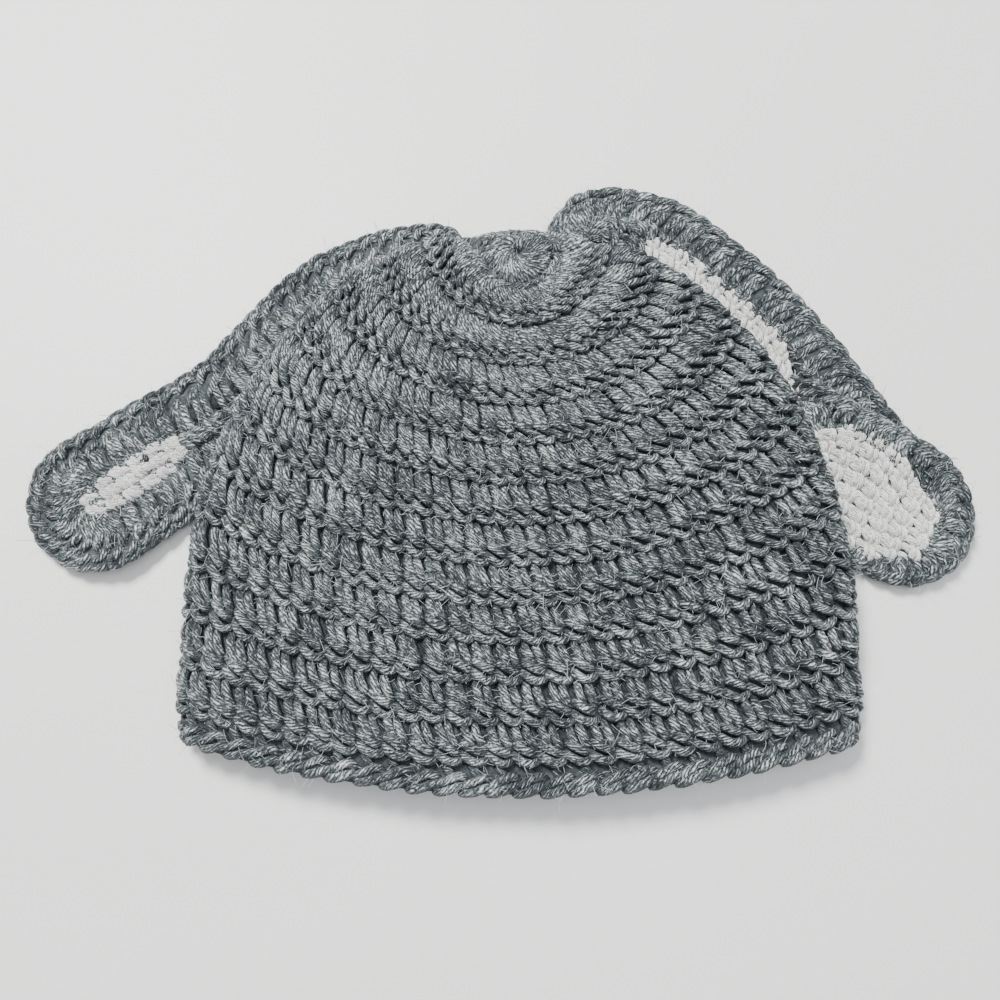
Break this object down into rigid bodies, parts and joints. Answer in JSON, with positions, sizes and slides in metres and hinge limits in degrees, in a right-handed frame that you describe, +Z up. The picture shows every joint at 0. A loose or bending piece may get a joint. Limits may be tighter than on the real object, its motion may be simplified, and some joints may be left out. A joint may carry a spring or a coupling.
{
  "type": "baby hat with ears",
  "caption": "Crocheted baby hat lying flat, hollow and open at the brim, with two long floppy ears that are grey with a white inner panel.",
  "frame": {"origin": "middle of the hat's underside, on the surface that it lies on", "axes": "+Z up from the surface, +Y from the brim towards the crown, +X to the right as seen from above"},
  "size_m": [0.2686, 0.1792, 0.015],
  "materials": {
    "grey_yarn": "matte crocheted yarn, heather grey",
    "white_yarn": "matte crocheted yarn, off-white"
  },
  "bodies": {
    "root": {"hat_body": "grey_yarn", "left_ear_back": "grey_yarn", "left_ear_front": "white_yarn", "right_ear_back": "grey_yarn", "right_ear_front": "white_yarn"}
  },
  "joints": []
}
